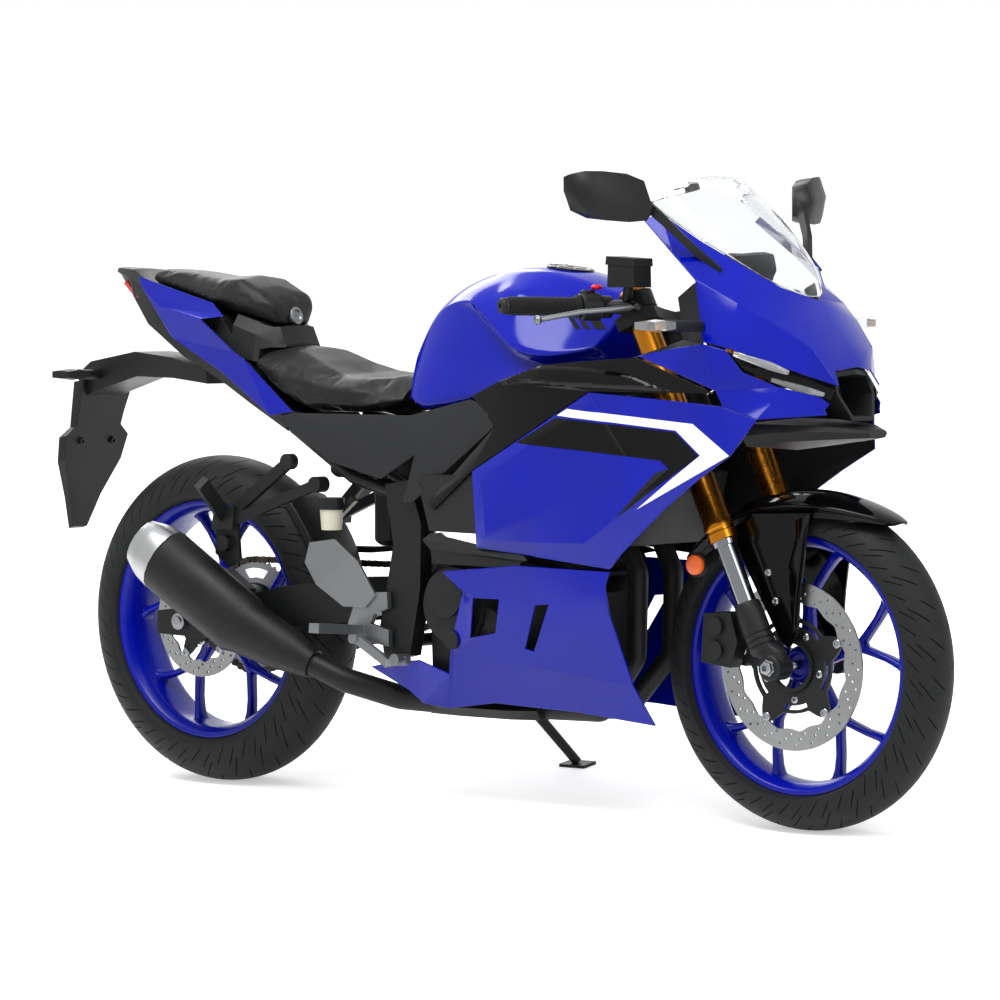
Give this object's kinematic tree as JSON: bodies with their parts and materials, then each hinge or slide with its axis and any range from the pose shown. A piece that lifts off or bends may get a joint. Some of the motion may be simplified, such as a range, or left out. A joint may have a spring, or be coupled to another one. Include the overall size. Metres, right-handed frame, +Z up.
{
  "type": "sport bike",
  "caption": "Fully faired sport motorcycle with clip-on bars, stepped seat, cast wheels and a low silencer, leaning on its side stand.",
  "frame": {"origin": "middle of the box's bottom, on the ground", "axes": "+X forward, +Y to the rider's left, +Z up; the bike leans 9 degrees towards +Y"},
  "size_m": [2.073, 0.7644, 1.1945],
  "materials": {
    "frame_black": "satin powder coat",
    "engine_grey": "satin black cast",
    "radiator_black": "satin fins",
    "exhaust_steel": "matte heat-proof black",
    "tip_steel": "brushed",
    "axle_steel": "machined",
    "spring_yellow": "gloss",
    "trim_black": "fine grain",
    "cover_grey": "coarse grain",
    "gloss_black": "gloss",
    "paint_blue": "deep gloss paint",
    "tank_blue": "deep gloss paint",
    "rim_blue": "gloss powder coat",
    "chain_steel": "oiled",
    "caliper_black": "satin",
    "fluid_cup": "milky",
    "bracket_alloy": "cast and polished",
    "seat_cover": "fine grain vinyl",
    "lamp_red": "gloss",
    "lamp_clear": "clear",
    "screen_clear": "clear",
    "fork_gold": "gold anodised",
    "leg_black": "satin, chromed sliders",
    "control_black": "fine grain",
    "grip_rubber": "ribbed",
    "tyre_rubber": "treaded",
    "disc_steel": "ground, drilled"
  },
  "bodies": {
    "chassis": {"main_frame": "frame_black", "engine_block": "engine_grey", "engine_covers": "engine_grey", "radiator": "radiator_black", "exhaust_headers": "exhaust_steel", "silencer": "exhaust_steel", "silencer_tip": "tip_steel", "swingarm": "frame_black", "rear_axle": "axle_steel", "rear_shock": "spring_yellow", "rear_guards": "trim_black", "drive_chain": "chain_steel", "rear_caliper": "caliper_black", "brake_fluid_cup": "fluid_cup", "rider_footrests": "bracket_alloy", "pillion_footrests": "bracket_alloy", "fuel_tank": "tank_blue", "rider_seat": "seat_cover", "pillion_seat": "seat_cover", "seat_bridge": "trim_black", "tail_centre": "trim_black", "tail_lamp": "lamp_red", "plate_hanger": "trim_black", "rear_signals": "lamp_clear", "nose_cowl": "paint_blue", "front_signals": "lamp_clear", "mirrors": "trim_black", "windscreen": "screen_clear", "headlamps": "lamp_clear", "nose_intake": "trim_black", "cowl_stay": "frame_black", "instrument": "trim_black", "stand_bracket": "frame_black", "cowl_blades": "paint_blue", "side_fairings": "paint_blue", "tail_cowls": "paint_blue", "side_covers": "cover_grey", "upper_trims": "gloss_black", "cowl_inners": "trim_black", "engine_side_panels": "trim_black", "lower_cowls": "paint_blue"},
    "steering": {"steering_stem": "frame_black", "fork_tubes": "fork_gold", "fork_legs": "leg_black", "handlebars": "frame_black", "hand_controls": "control_black", "grips": "grip_rubber", "front_axle": "axle_steel", "front_mudguard": "gloss_black", "front_caliper": "caliper_black"},
    "front_wheel": {"front_rim": "rim_blue", "front_tyre": "tyre_rubber", "front_disc": "disc_steel"},
    "rear_wheel": {"rear_rim": "rim_blue", "rear_tyre": "tyre_rubber", "rear_disc": "disc_steel", "rear_sprocket": "chain_steel"},
    "side_stand": {"side_stand": "frame_black"}
  },
  "joints": [
    {"name": "steering", "type": "hinge", "parent": "chassis", "child": "steering", "pos_m": [0.47012, -0.03335, 0.78027], "axis": [-0.4226, 0.1418, 0.8951], "range_deg": [-34, 34]},
    {"name": "front_wheel_spin", "type": "hinge", "parent": "steering", "child": "front_wheel", "pos_m": [0.7435, -0.1111, 0.28939], "axis": [0, 0.9877, -0.1564], "continuous": true},
    {"name": "rear_wheel_spin", "type": "hinge", "parent": "chassis", "child": "rear_wheel", "pos_m": [-0.6365, -0.10782, 0.31013], "axis": [0, 0.9877, -0.1564], "continuous": true},
    {"name": "side_stand_fold", "type": "hinge", "parent": "chassis", "child": "side_stand", "pos_m": [-0.0845, 0.02481, 0.21421], "axis": [0, 0.8448, 0.5351], "range_deg": [0, 104]}
  ]
}
